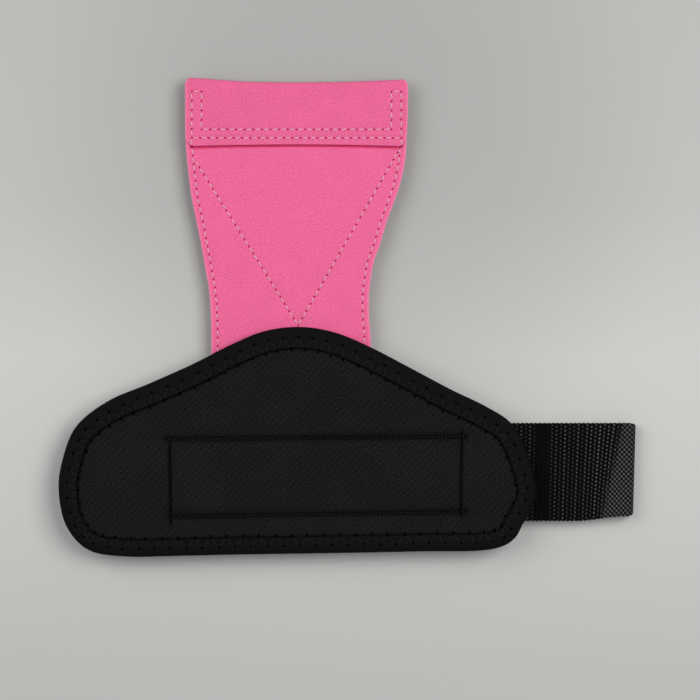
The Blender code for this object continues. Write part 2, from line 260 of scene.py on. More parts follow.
def thick_sheet(name, top, bottom, looks, cloth, relief=None):
    """A closed sheet from two grids of points, rows by columns, with flat ends and soft sides."""
    rows, columns = top.shape[:2]
    count = rows * columns
    upper = np.arange(count).reshape(rows, columns)
    lower = upper + count
    faces = quads_of(upper) + quads_of(lower, flip=True)
    for c, flip in ((0, True), (columns - 1, False)):
        side = np.stack([upper[:-1, c], lower[:-1, c], lower[1:, c], upper[1:, c]], axis=-1)
        faces += (side[:, ::-1] if flip else side).tolist()
    for r, flip in ((0, False), (rows - 1, True)):
        end = np.stack([upper[r, :-1], lower[r, :-1], lower[r, 1:], upper[r, 1:]], axis=-1)
        faces += (end[:, ::-1] if flip else end).tolist()
    sharp = np.concatenate([upper[0], upper[-1], lower[0], lower[-1]])
    verts = np.concatenate([top.reshape(-1, 3), bottom.reshape(-1, 3)])
    cloth = np.concatenate([cloth.reshape(-1, 2)] * 2)
    both = None if relief is None else np.concatenate([relief[0].ravel(), relief[1].ravel()])
    return make_piece(name, verts, faces, looks, cloth, both, sharp=sharp)


def tube_faces(first, rings, sides):
    """Faces of a closed tube whose rings of points follow each other from number first."""
    faces = []
    for i in range(rings - 1):
        for k in range(sides):
            a, b = first + i * sides + k, first + i * sides + (k + 1) % sides
            faces.append((a, b, b + sides, a + sides))
    faces.append(tuple(first + k for k in range(sides))[::-1])
    faces.append(tuple(first + (rings - 1) * sides + k for k in range(sides)))
    return faces


def join(meshes):
    """The points and faces of several meshes as one."""
    verts, faces = [], []
    for more, more_faces in meshes:
        faces += [tuple(i + len(verts) for i in face) for face in more_faces]
        verts += more
    return verts, faces


def thread_mesh(stitches, radius, arch, sides=6, stations=7):
    """Points and faces of short threads, each from one point to another and raised in its middle."""
    verts, faces, along = [], [], np.linspace(0, 1, stations)
    round_end = np.sqrt(np.clip(1 - (2 * along - 1) ** 4, 0.06, 1))
    angles = np.linspace(0, 2 * np.pi, sides, endpoint=False)
    up = np.array([0, 0, 1.0])
    for start, end in stitches:
        start, end = np.array(start, float), np.array(end, float)
        run = end - start
        across = np.array([-run[1], run[0], 0.0])
        across /= max(np.linalg.norm(across), 1e-9)
        faces += tube_faces(len(verts), stations, sides)
        for t, width in zip(along, round_end):
            middle = start + run * t + up * arch * (1 - (2 * t - 1) ** 2)
            for angle in angles:
                offset = across * math.cos(angle) + up * math.sin(angle)
                verts.append(middle + offset * radius * width)
    return verts, faces


def hole_mesh(holes, z, length=1.3, width=0.7, follow=None):
    """Small dimples where the needle went through, on a surface that rises by follow(x, y)."""
    sides, rings = 8, ((1.0, -0.18), (0.75, 0.03), (0.3, 0.06))
    verts, faces = [], []
    for centre, run in holes:
        run = turned(run, -42 + RANDOM.normal(0, 7))
        across = np.array([-run[1], run[0]])
        level = z + (follow(*centre) if follow else 0.0)
        faces += tube_faces(len(verts), len(rings), sides)
        for share, height in rings:
            for angle in np.linspace(0, 2 * np.pi, sides, endpoint=False):
                along, aside = length / 2 * math.cos(angle), width / 2 * math.sin(angle)
                verts.append((*(centre + (run * along + across * aside) * share), level + height))
    return verts, faces


def sewn_line(path, pitch, share, slant):
    """Stitches along a path seen from above: the two ends of each thread, and the hole after it."""
    path = np.asarray(path, float)
    along = distances(path)
    count = max(1, int(round(along[-1] / pitch)))
    step = along[-1] / count

    def point(s):
        return np.array([np.interp(s, along, path[:, k]) for k in (0, 1)])

    stitches, holes = [], []
    for i in range(count):
        middle = (i + 0.5) * step
        start, end = point(middle - share * step / 2), point(middle + share * step / 2)
        centre = (start + end) / 2
        run = turned((end - start) / 2, slant + RANDOM.normal(0, 2.0))
        stitches.append((centre - run, centre + run))
        ahead = point(min(along[-1], (i + 1) * step + 0.1)) - point((i + 1) * step - 0.1)
        holes.append((point((i + 1) * step), ahead / max(np.linalg.norm(ahead), 1e-9)))
    return stitches, holes


# ---- Materials ----
class Look:
    """A material being made. A socket takes a number, a vector, a colour or another node's output."""

    def __init__(self, name):
        self.material = bpy.data.materials.new(name)
        self.material.use_nodes = True
        self.tree = self.material.node_tree

    def fill(self, socket, value):
        if isinstance(value, bpy.types.NodeSocket):
            self.tree.links.new(value, socket)
        elif socket.type == "RGBA":
            socket.default_value = (*value, 1.0)
        else:
            socket.default_value = value

    def fill_named(self, node, inputs):
        for name, value in inputs.items():
            self.fill(node.inputs[name.replace("_", " ")], value)

    def node(self, kind, settings=None, **inputs):
        made = self.tree.nodes.new(kind)
        for name, value in (settings or {}).items():
            setattr(made, name, value)
        self.fill_named(made, inputs)
        return made

    def attribute(self, name, output="Fac"):
        return self.node("ShaderNodeAttribute", {"attribute_name": name}).outputs[output]

    def place(self):
        return self.node("ShaderNodeTexCoord").outputs["Object"]

    def noise(self, place, scale, detail=2.0, roughness=0.6):
        inputs = {"Vector": place, "Scale": scale, "Detail": detail, "Roughness": roughness}
        return self.node("ShaderNodeTexNoise", **inputs).outputs["Fac"]

    def ramp(self, value, *stops):
        """A colour for each value, by stops of (value, colour)."""
        made = self.node("ShaderNodeValToRGB", Fac=value)
        elements = made.color_ramp.elements
        while len(elements) < len(stops):
            elements.new(0.5)
        for element, (at, colour) in zip(elements, stops):
            element.position = at
            element.color = (*colour, 1.0)
        return made.outputs["Color"]

    def math(self, operation, a, b):
        made = self.node("ShaderNodeMath", {"operation": operation})
        self.fill(made.inputs[0], a)
        self.fill(made.inputs[1], b)
        return made.outputs["Value"]

    def mix(self, blend_type, factor, a, b):
        made = self.node("ShaderNodeMix", {"data_type": "RGBA", "blend_type": blend_type})
        for socket, value in zip((made.inputs["Factor"], made.inputs[6], made.inputs[7]), (factor, a, b)):
            self.fill(socket, value)
        return made.outputs[2]

    def bump(self, height, strength, distance):
        made = self.node("ShaderNodeBump", Height=height, Strength=strength, Distance=distance)
        return made.outputs["Normal"]

    def finish(self, **inputs):
        """Fills the surface shader's sockets and gives the material."""
        self.fill_named(self.tree.nodes["Principled BSDF"], inputs)
        return self.material


def scaled(colour, factor):
    return tuple(c * factor for c in colour)


def suede_look(name, colour, pale):
    """Brushed microfibre: a fine mottled nap, soft sheen, paler edges and a painted shadow line under the
    hem.
    """
    look = Look(name)
    cloth = look.attribute("cloth", "Vector")
    grain = look.noise(cloth, 1500.0, detail=4.0, roughness=0.7)
    fine = look.noise(cloth, 3200.0, roughness=0.5)
    cloud = look.noise(cloth, 90.0, detail=3.0, roughness=0.55)
    light = tuple(min(1.0, c * 1.21 + 0.014) for c in colour)
    base = look.ramp(grain, (0.30, scaled(colour, 0.74)), (0.52, colour), (0.74, light))
    shade = look.ramp(cloud, (0.25, (0.95,) * 3), (0.75, (1.03,) * 3))
    base = look.mix("MULTIPLY", 1.0, base, shade)
    base = look.mix("MIX", look.attribute("relief"), base, pale)
    # painted shadow: a dark crimson line on the face just under the hem's raw edge
    base = look.mix("MIX", look.attribute("shadow"), base, (0.50, 0.012, 0.075))
    nap = look.bump(look.math("ADD", grain, fine), 0.35, 0.00018)
    return look.finish(
        Base_Color=base, Normal=nap, Roughness=0.88, Specular_IOR_Level=0.18,
        Sheen_Weight=0.12, Sheen_Roughness=0.5, Sheen_Tint=(1.0, 0.62, 0.76),
    )


def knit_look(name, dark, light):
    """Matt black knit: fine speckle over barely visible diagonal rows, with painted near-black shade where
    the relief says.
    """
    look = Look(name)
    cloth = look.attribute("cloth", "Vector")
    mirrored = look.node("ShaderNodeVectorMath", {"operation": "MULTIPLY"})
    look.fill(mirrored.inputs[0], cloth)
    look.fill(mirrored.inputs[1], (1.0, -1.0, 1.0))
    rows = look.node(
        "ShaderNodeTexWave", {"bands_direction": "DIAGONAL"}, Vector=mirrored.outputs["Vector"],
        Scale=230.0, Distortion=2.0, Detail=2.0, Detail_Scale=3.0,
    )
    speck = look.noise(cloth, 2500.0, detail=3.0, roughness=0.75)
    cloud = look.noise(cloth, 45.0, roughness=0.5)
    value = look.math("ADD", look.math("MULTIPLY", rows.outputs["Fac"], 0.035), speck)
    middle = tuple((a + b) / 2 for a, b in zip(dark, light))
    base = look.ramp(value, (0.43, dark), (0.55, middle), (0.68, light))
    shade = look.ramp(cloud, (0.3, (0.86,) * 3), (0.7, (1.0,) * 3))
    base = look.mix("MULTIPLY", 1.0, base, shade)
    # painted shade: near black in the sewn grooves and in a strip against the tape
    base = look.mix("MIX", look.attribute("relief"), base, (0.0006, 0.0006, 0.0006))
    knit = look.bump(value, 0.3, 0.00015)
    return look.finish(Base_Color=base, Normal=knit, Roughness=0.95, Specular_IOR_Level=0.06)


def ribbed_look(name, colour, pitch):
    """Woven binding tape with fine slanting ribs. The cloth's first coordinate runs along the tape."""
    look = Look(name)
    cloth = look.attribute("cloth", "Vector")
    ribs = look.node(
        "ShaderNodeTexWave", {"bands_direction": "DIAGONAL", "wave_profile": "SIN"}, Vector=cloth,
        Scale=math.tau / pitch / 20.0, Distortion=0.8, Detail=1.0,
    )
    speck = look.noise(cloth, 1400.0)
    value = look.math("ADD", look.math("MULTIPLY", ribs.outputs["Fac"], 0.4), speck)
    base = look.ramp(value, (0.4, scaled(colour, 0.6)), (0.95, scaled(colour, 1.6)))
    # painted shade: near black in the needle holes at the zigzag's apexes and along the tape's inner edge
    base = look.mix("MIX", look.attribute("relief"), base, (0.0004, 0.0004, 0.0004))
    weft = look.bump(value, 0.45, 0.00015)
    return look.finish(Base_Color=base, Normal=weft, Roughness=0.8, Specular_IOR_Level=0.06)


def webbing_look(name):
    """Black nylon webbing: painted shade between its yarns and a painted highlight on top of them."""
    look = Look(name)
    strand = look.noise(look.attribute("cloth", "Vector"), 2600.0)
    value = look.math("ADD", look.attribute("relief"), look.math("MULTIPLY", strand, 0.3))
    # the ramp paints shade in the grooves and a highlight on the yarns' crests
    deep, side, upper, crest = (0.0002,) * 3, (0.0022,) * 3, (0.034,) * 3, (0.140, 0.140, 0.134)
    base = look.ramp(value, (0.45, deep), (0.64, side), (0.82, upper), (1.0, crest))
    yarn = look.bump(strand, 0.35, 0.0002)
    return look.finish(Base_Color=base, Normal=yarn, Roughness=0.6, Specular_IOR_Level=0.04)


def thread_look(name, colour, roughness, specular):
    look = Look(name)
    fibres = look.noise(look.place(), 2400.0)
    base = look.ramp(fibres, (0.3, scaled(colour, 0.78)), (0.7, colour))
    twist = look.bump(fibres, 0.4, 0.0002)
    return look.finish(Base_Color=base, Normal=twist, Roughness=roughness, Specular_IOR_Level=specular)


def tape_look(name, colour, scale, strength):
    """Hook or loop tape, pitted all over."""
    look = Look(name)
    cloth = look.attribute("cloth", "Vector")
    cells = look.node("ShaderNodeTexVoronoi", Vector=cloth, Scale=scale).outputs["Distance"]
    fuzz = look.noise(cloth, 1500.0, detail=3.0, roughness=0.7)
    value = look.math("ADD", cells, look.math("MULTIPLY", fuzz, 0.6))
    base = look.ramp(value, (0.2, scaled(colour, 2.2)), (0.9, scaled(colour, 0.5)))
    return look.finish(Base_Color=base, Normal=look.bump(value, strength, 0.0004), Roughness=0.85)


def steel_look(name):
    look = Look(name)
    marks = look.noise(look.place(), 700.0, detail=3.0)
    base = look.ramp(marks, (0.3, (0.52, 0.52, 0.53)), (0.7, (0.68, 0.68, 0.69)))
    rough = look.node("ShaderNodeMapRange", Value=marks, To_Min=0.16, To_Max=0.34)
    return look.finish(Base_Color=base, Roughness=rough.outputs["Result"], Metallic=1.0)


PINK = (0.800, 0.128, 0.292)
PALE_PINK = (0.90, 0.33, 0.50)
LOOKS = {
    "face": suede_look("microfibre_face", PINK, PALE_PINK),
    "back": suede_look("microfibre_back", scaled(PINK, 0.96), PALE_PINK),
    "lining": knit_look("lining_fabric", (0.0006, 0.0006, 0.0005), (0.0240, 0.0240, 0.0217)),
    "binding": ribbed_look("binding_tape", (0.0034, 0.0034, 0.0035), 0.0008),
    "webbing": webbing_look("webbing"),
    "pink_thread": thread_look("pink_thread", (0.86, 0.44, 0.57), 0.55, 0.3),
    # the flap's needle holes are painted dark crimson: painted shade in the holes
    "needle_hole_shade": thread_look("needle_hole_shade", (0.34, 0.004, 0.055), 0.9, 0.05),
    "black_thread": thread_look("black_thread", (0.018, 0.018, 0.018), 0.7, 0.12),
    # near-black painted shade in the pad's needle holes and dents
    "needle_mark_shade": thread_look("needle_mark_shade", (0.0004, 0.0004, 0.0004), 0.9, 0.0),
    "hook": tape_look("hook_tape", (0.012, 0.012, 0.012), 900.0, 0.9),
    "loop": tape_look("loop_tape", (0.016, 0.016, 0.016), 500.0, 0.7),
    "steel": steel_look("steel"),
}


# ---- Palm flap ----
LINE_STEP = 0.4


def flap_lines():
    """The flap's sewn lines in plan: the hem's, the face layer's, and the hem's two tails."""
    (x0, x3, y0), (x1, x2, y1), top = HEM_OUTER, HEM_INNER, HEM_STITCH_TOP
    legs = [(x0, top), (x1, top), (x1, y1), (x2, y1), (x2, top), (x3, top), (x3, y0), (x0, y0), (x0, top)]
    hem = [even_steps([a, b], LINE_STEP) for a, b in zip(legs, legs[1:])]
    edges = []
    for side, inwards, foot in ((0, 2.5, -14.2), (1, -2.5, -10.6)):
        y = np.arange(foot, HEM_EDGE_Y - 0.3, LINE_STEP)
        edges.append(np.column_stack([flap_edge(side, y) + inwards, y]))
    vee = [even_steps([V_LEFT, V_POINT], LINE_STEP), even_steps([V_POINT, V_RIGHT], LINE_STEP)]
    tails = [even_steps([(x, y0), (x, HEM_EDGE_Y)], LINE_STEP) for x in (x0, x3)]
    return hem, edges + vee, tails


HEM_LINES, FACE_LINES, HEM_TAILS = flap_lines()
FACE_SAMPLES = np.concatenate(FACE_LINES)
HEM_SAMPLES = np.concatenate(HEM_LINES + HEM_TAILS)


def edge_columns():
    """Shares across the flap, close together near its edges."""
    near = np.array([0, 0.12, 0.3, 0.6, 1.1, 1.8]) / 80.0
    middle = np.linspace(2.6 / 80.0, 1 - 2.6 / 80.0, 130)
    return np.concatenate([near, middle, 1 - near[::-1]])


def flap_wave(x, y):
    """Slow unevenness of the flap's layers."""
    return 0.10 * np.sin(x * 0.055 + y * 0.03) + 0.07 * np.sin(x * 0.12 - y * 0.09 + 2.0)


def flap_surface(path, normals, thickness, samples, chamfer):
    """Two grids of points, the cloth grid and the paleness for one layer of the flap."""
    share = edge_columns()
    y = path[:, 0]
    left, right = flap_edge(0, y), flap_edge(1, y)
    if chamfer is not None:
        cut = np.where(chamfer, np.clip(HEM_EDGE_Y + HEM_CHAMFER - y, 0, None), 0)
        left, right = left + cut, right - cut
    x = left[:, None] + (right - left)[:, None] * share[None]
    from_edge = np.minimum(share, 1 - share)[None] * (right - left)[:, None]
    rise = np.clip((y - DIP_FROM_Y) / (FLAP_TOP - DIP_FROM_Y), 0, 1)[:, None] ** 2
    crown = 1 - (2 * share[None] - 1) ** 2
    dip = FLAP_DIP * rise * crown
    dip = dip - LEFT_CORNER_REACH * rise * smoothstep(0.3, 0.02, share)[None]
    if chamfer is not None:
        near_raw_edge = chamfer * (1 - smoothstep(0, HEM_BOW_REACH, y - HEM_EDGE_Y))
        dip = dip - HEM_BOW * near_raw_edge[:, None] * crown
    inwards = np.clip(SHEET_ROUNDING - from_edge, 0, None)
    rounding = np.where(inwards > 0, SHEET_ROUNDING - np.sqrt(SHEET_ROUNDING**2 - inwards**2), 0)
    half = np.clip(thickness / 2 - rounding * 0.85, 0.08, None)
    wave = flap_wave(x, y[:, None])
    grids = []
    for sign in (1, -1):
        run, rise_by = (normals[:, k][:, None] * sign * half for k in (0, 1))
        points = np.stack([x, y[:, None] - dip + run, path[:, 1][:, None] + rise_by + wave], axis=-1)
        if samples is not None and sign == samples[0]:
            gap = nearest(points.reshape(-1, 3), samples[1]).reshape(x.shape)
            facing = np.where(normals[:, 1] * sign > 0.5, 1.0, 0.0)[:, None]
            points[..., 2] -= facing * FLAP_SEAM_DEPTH * hump(gap, FLAP_SEAM_WIDTH)
        grids.append(points)
    cloth = np.stack([x, np.broadcast_to(distances(path)[:, None] + y[0], x.shape)], axis=-1)
    return grids, cloth, 0.55 * hump(from_edge, 0.5)


def flat_path(start, end, z, step=0.5):
    y = np.linspace(start, end, max(2, int(round((end - start) / step)) + 1))
    return np.column_stack([y, np.full(len(y), z)]), np.tile([0.0, 1.0], (len(y), 1))


def hem_shadow(points):
    """How deep in the shadow of the hem's raw edge each point of the face is, from 0 to 1."""
    x, y = points[..., 0], points[..., 1]
    share = (x - flap_edge(0, y)) / (flap_edge(1, y) - flap_edge(0, y))
    crown = np.clip(1 - (2 * share - 1) ** 2, 0, 1)
    below_edge = HEM_EDGE_Y + HEM_BOW * crown - y
    inside = smoothstep(0.01, 0.05, share) * smoothstep(0.99, 0.95, share)
    return 0.9 * smoothstep(1.5, 0.75, below_edge) * inside * (below_edge < 3)


def flap_layer(name, path, normals, look, samples=None, chamfer=None):
    (top, bottom), cloth, pale = flap_surface(path, normals, FLAP_LAYER, samples, chamfer)
    piece = thick_sheet(name, top, bottom, [LOOKS[look]], cloth, (pale, pale))
    shadow = np.zeros((2, *pale.shape), np.float32)
    if look == "face":
        shadow[0] = hem_shadow(top)
    piece.data.attributes.new("shadow", "FLOAT", "POINT").data.foreach_set("value", shadow.ravel())
    return piece


def bend_between(piece, a, b, zone):
    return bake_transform(piece)


FLAP_BENDS = {
    "root": ("wrist_pad", "palm_flap", ROOT_BEND),
    "palm": ("palm_flap", "flap_bend", PALM_BEND),
    "finger": ("flap_bend", "finger_end", FINGER_BEND),
}
FINGER_TOP = 91.0


def hem_path():
    """The back layer's path over the finger end and back down as the hem."""
    turn = (HEM_Z - BACK_Z) / 2
    fold_y = FLAP_TOP - turn - FLAP_LAYER / 2
    low = flat_path(FLAP_CUTS_Y[1], fold_y, BACK_Z)[0]
    angles = np.radians(np.linspace(-90, 90, 15))[1:-1]
    middle = (BACK_Z + HEM_Z) / 2
    around = np.column_stack([fold_y + turn * np.cos(angles), middle + turn * np.sin(angles)])
    high = flat_path(HEM_EDGE_Y, fold_y, HEM_Z)[0][::-1]
    path = np.vstack([low, around, high])
    # The normal of the inner side, which becomes the hem's underside
    normals = np.vstack([
        np.tile([0.0, 1.0], (len(low), 1)),
        np.column_stack([-np.cos(angles), -np.sin(angles)]),
        np.tile([0.0, -1.0], (len(high), 1)),
    ])
    over = np.arange(len(path)) >= len(low) + len(around)
    return path, normals, over


def finish_flap(piece, part, nodes):
    """Bakes one layer of a part of the flap in place and hides the CAD parts it stands for."""
    bend_between(piece, *FLAP_BENDS[part])
    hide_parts(*nodes)


def build_flap():
    palm_y, finger_y = FLAP_CUTS_Y
    for part, low, high, names in (
        ("root", FLAP_FOOT, palm_y, ("root", "palm")),
        ("palm", palm_y, finger_y, ("bend",)),
    ):
        for layer, z, samples in (("back", BACK_Z, None), ("face", FACE_Z, (1, FACE_SAMPLES))):
            path, normals = flat_path(low, high, z)
            piece = flap_layer(f"flap_{layer}_sheet_{part}", path, normals, layer, samples)
            finish_flap(piece, part, [f"flap_{name}_{layer}" for name in names])
    path, normals = flat_path(finger_y, FINGER_TOP, FACE_Z)
    piece = flap_layer("flap_face_sheet_finger", path, normals, "face", (1, FACE_SAMPLES))
    finish_flap(piece, "finger", ["flap_finger_face"])
    path, normals, over = hem_path()
    piece = flap_layer("flap_back_sheet_hem", path, normals, "back", (-1, HEM_SAMPLES), over)
    finish_flap(piece, "finger", ["flap_finger_back_and_hem"])


def build_flap_stitches():
    """Every seam of the flap, as one piece for each length of flap that bends on its own."""
    thread_radius, thread_arch, sunk = 0.29, 0.30, 0.28
    levels = (FACE_Z + FLAP_LAYER / 2, HEM_Z + FLAP_LAYER / 2)
    groups = {"root": [], "palm": [], "finger": []}
    for lines, level in zip((FACE_LINES, HEM_LINES + HEM_TAILS), levels):
        for line in lines:
            stitches, holes = sewn_line(line, STITCH_PITCH, STITCH_SHARE, STITCH_SLANT)
            for (start, end), hole in zip(stitches, holes):
                y = (start[1] + end[1]) / 2
                part = "root" if y < FLAP_CUTS_Y[0] else "palm" if y < FLAP_CUTS_Y[1] else "finger"
                groups[part].append((start, end, hole, level))
    sides = [f"{line}_stitch_{side}" for line in ("v", "edge") for side in ("left", "right")]
    nodes = {
        "root": ["v_stitch_palm", "edge_stitch_left_palm", "edge_stitch_right_palm"],
        "palm": [f"{name}_bend" for name in sides],
        "finger": ["hem_stitch"] + [f"{name}_finger" for name in sides],
    }
    for part, members in groups.items():
        stitches = [
            [(*end, level - sunk + flap_wave(*end)) for end in (start, stop)]
            for start, stop, _, level in members
        ]
        threads = thread_mesh(stitches, thread_radius, thread_arch)
        holes = [
            hole_mesh([hole for _, _, hole, z in members if z == level], level - 0.17, follow=flap_wave)
            for level in levels
        ]
        verts, faces = join([threads, *holes])
        is_hole = np.arange(len(faces)) >= len(threads[1])
        looks = [LOOKS["pink_thread"], LOOKS["needle_hole_shade"]]
        piece = make_piece(f"flap_stitching_{part}", verts, faces, looks, look_of_face=is_hole)
        bend_between(piece, *FLAP_BENDS[part])
        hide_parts(*nodes[part])


# ---- Wrist pad ----
OUTLINE = smooth_loop(PAD_POINTS, OUTLINE_STEP)


def inward_normals(outline):
    along = np.roll(outline, -3, axis=0) - np.roll(outline, 3, axis=0)
    along /= np.hypot(*along.T)[:, None]
    return np.column_stack([along[:, 1], -along[:, 0]])


def binding_widths(normals):
    """The tape's width on the skin side: widest along the crown, narrowest along the foot."""
    outwards_up = -normals[:, 1]
    return 7.4 + 0.9 * np.clip(outwards_up, 0, 1) ** 2 - 0.75 * np.clip(-outwards_up, 0, 1)


OUTLINE_NORMALS = inward_normals(OUTLINE)
OUTLINE_WIDTHS = binding_widths(OUTLINE_NORMALS)
INNER_EDGE = OUTLINE + OUTLINE_NORMALS * OUTLINE_WIDTHS[:, None]


def box_lines():
    """The sewn rectangle's long and short sides, which overshoot its corners a little."""
    (x0, x1), overshoot = BOX_X, 1.2
    top = [(x0 - overshoot, BOX_TOP[0]), (x1 + overshoot, BOX_TOP[1])]
    foot = [(x0, BOX_FOOT[0]), (x1 + overshoot, BOX_FOOT[1])]
    left = [(x0, BOX_TOP[0] - 0.6), (x0 + 0.4, BOX_FOOT[0] - 2 * overshoot)]
    right = [(x1, BOX_TOP[1] + overshoot), (x1 - 0.5, BOX_FOOT[1] - overshoot)]
    return [[even_steps(line, LINE_STEP) for line in pair] for pair in ((top, foot), (left, right))]


BOX_LONG, BOX_SHORT = box_lines()


def seam_gaps(xy):
    """Distances to the rectangle's long sides, to its short sides and to the tape's inner edge."""
    return [nearest(xy, s) for s in (np.concatenate(BOX_LONG), np.concatenate(BOX_SHORT), INNER_EDGE[::2])]


def lining_height(xy):
    """The height of the skin side of the pad, with its sewn channels."""
    x, y = xy.T
    long_gap, short_gap, inner_gap = seam_gaps(xy)
    edge_gap = nearest(xy, OUTLINE[::2])
    wave = 0.12 * np.sin(x * 0.11 + 0.6) * np.sin(y * 0.14) + 0.10 * np.sin(x * 0.045 - y * 0.07)
    height = LINING_Z + 0.4 * smoothstep(8.0, 17.0, edge_gap) + wave
    height -= 1.2 * hump(long_gap, 2.8) + 0.4 * hump(long_gap, 0.7)
    height -= 0.35 * hump(short_gap, 2.0) + 0.8 * hump(short_gap, 0.5)
    height -= 0.45 * hump(inner_gap, 0.9)
    return height


def lining_painted_shade(xy):
    """Painted shade on the lining, from 0 to 1: near black in the sewn grooves and against the tape."""
    long_gap, short_gap, inner_gap = seam_gaps(xy)
    dark = np.maximum(0.98 * hump(short_gap, 0.6), 0.9 * hump(long_gap, 1.1))
    return np.maximum(dark, 0.9 * hump(inner_gap, 0.55))


def half_of(outline, side):
    """The part of the outline left (side 0) or right (side 1) of the cut, from one end to the other."""
    sign = -1 if side == 0 else 1
    keep = sign * (outline[:, 0] - PAD_CUT_X) > 0.2
    start = int(np.flatnonzero(keep & ~np.roll(keep, 1))[0])
    return np.roll(outline, -start, axis=0)[np.roll(keep, -start)]


def cut_ends(part):
    """The half outline with its two ends carried on to the cut."""
    first, last = part[0], part[-1]
    return np.vstack([[PAD_CUT_X, first[1]], part, [PAD_CUT_X, last[1]]])


def inside(points, loop):
    """Whether each point lies inside the loop, by how often a line to its right crosses it."""
    found = np.zeros(len(points), bool)
    for (x0, y0), (x1, y1) in zip(loop, np.roll(loop, -1, axis=0)):
        crosses = (y0 > points[:, 1]) != (y1 > points[:, 1])
        found ^= crosses & (points[:, 0] < (x1 - x0) * (points[:, 1] - y0) / ((y1 - y0) or 1e-9) + x0)
    return found


def pad_points(loop):
    """Points inside the loop: an even triangle grid with extra rows by the sewn lines."""
    across_step, row_step = 1.1, 0.95
    low, high = loop.min(0), loop.max(0)
    rows = []
    for k, y in enumerate(np.arange(low[1], high[1], row_step)):
        x = np.arange(low[0] + (across_step / 2 if k % 2 else 0.0), high[0], across_step)
        rows.append(np.column_stack([x, np.full(len(x), y)]))
    spread = np.concatenate(rows)
    sewn = np.concatenate(BOX_LONG + BOX_SHORT)
    spread = spread[(nearest(spread, sewn) > 1.9) & (nearest(spread, INNER_EDGE[::2]) > 1.1)]
    extra = []
    for line in BOX_LONG + BOX_SHORT:
        path = even_steps(line, 0.8)
        run = path[-1] - path[0]
        across = np.array([-run[1], run[0]]) / np.hypot(*run)
        extra += [path + across * offset for offset in (-1.4, -0.8, -0.35, 0.0, 0.35, 0.8, 1.4)]
    extra += [(INNER_EDGE + OUTLINE_NORMALS * offset)[::2] for offset in (-0.8, -0.3, 0.15, 0.55, 1.0)]
    points = np.concatenate([spread, *extra])
    _, unique = np.unique(np.round(points / 0.3), axis=0, return_index=True)
    points = points[np.sort(unique)]
    edge = even_steps(np.vstack([loop, loop[:1]]), 0.3)
    return points[inside(points, loop) & (nearest(points, edge) > 0.55)]


def pad_half(name, side):
    """One half of the pad as a closed body: lining on top, shell below and a wall under the binding."""
    loop = cut_ends(half_of(OUTLINE + OUTLINE_NORMALS * WALL_INSET, side))
    seam = even_steps(loop[[-1, 0]], 0.9)[1:-1]
    loop = np.vstack([even_steps(loop, 0.9), seam])
    points = np.vstack([loop, pad_points(loop)])
    edges = [(i, (i + 1) % len(loop)) for i in range(len(loop))]
    verts, _, triangles, _, _, _ = delaunay_2d_cdt([tuple(p) for p in points], edges, [], 1, 1e-5)
    flat = np.array([tuple(v) for v in verts])
    triangles = np.array([t for t in triangles if len(t) == 3])
    a, b, c = (flat[triangles[:, k]] for k in range(3))
    turned_over = (b[:, 0] - a[:, 0]) * (c[:, 1] - a[:, 1]) - (b[:, 1] - a[:, 1]) * (c[:, 0] - a[:, 0]) < 0
    triangles[turned_over] = triangles[turned_over][:, ::-1]
    count, size = len(flat), len(loop)
    shell_z = SHELL_Z - 0.25 * smoothstep(3, 12, nearest(flat, OUTLINE[::2]))
    shell_z += 0.15 * hump(nearest(flat, np.concatenate(BOX_LONG)), 2.0)
    top = np.column_stack([flat, lining_height(flat)])
    bottom = np.column_stack([flat, shell_z])
    faces = triangles.tolist() + (triangles[:, ::-1] + count).tolist()
    after = np.roll(loop, -1, axis=0)
    clockwise = (after[:, 0] - loop[:, 0]) @ (after[:, 1] + loop[:, 1]) > 0
    for i, j in edges:
        quad = (i, j, j + count, i + count)
        faces.append(quad if clockwise else quad[::-1])
    return make_piece(
        name, np.vstack([top, bottom]), faces, [LOOKS["lining"]], np.vstack([flat, flat]),
        np.concatenate([lining_painted_shade(flat), np.zeros(count)]),
        sharp=np.concatenate([np.arange(size), np.arange(size) + count]),
    )


def zigzag_lines():
    """Corners of the zigzag through the binding, on the inner edge and halfway out by turns."""
    length = len(OUTLINE)
    count = 2 * int(round(length * OUTLINE_STEP / ZIGZAG_PITCH))
    corners = []
    for k in range(count):
        index = int(round(k * length / count)) % length
        width = OUTLINE_WIDTHS[index]
        depth = (width + 0.25 if k % 2 == 0 else width * 0.5) + RANDOM.normal(0, 0.12)
        corners.append((OUTLINE[index] + OUTLINE_NORMALS[index] * depth, OUTLINE_NORMALS[index]))
    return corners


ZIGZAG_CORNERS = zigzag_lines()
ZIGZAG = [corner for corner, _ in ZIGZAG_CORNERS]
ZIGZAG_STITCHES = list(zip(ZIGZAG, ZIGZAG[1:] + ZIGZAG[:1]))
ZIGZAG_SAMPLES = np.concatenate([even_steps(stitch, 0.35) for stitch in ZIGZAG_STITCHES])
ZIGZAG_APEXES = np.array(ZIGZAG[1::2])


def quarter(distance):
    """A quarter circle's height, from 0 at the pad's edge to 1 where the tape is flat."""
    return np.sqrt(np.clip(1 - ((BINDING_ROUNDING - distance) / BINDING_ROUNDING) ** 2, 0, 1))


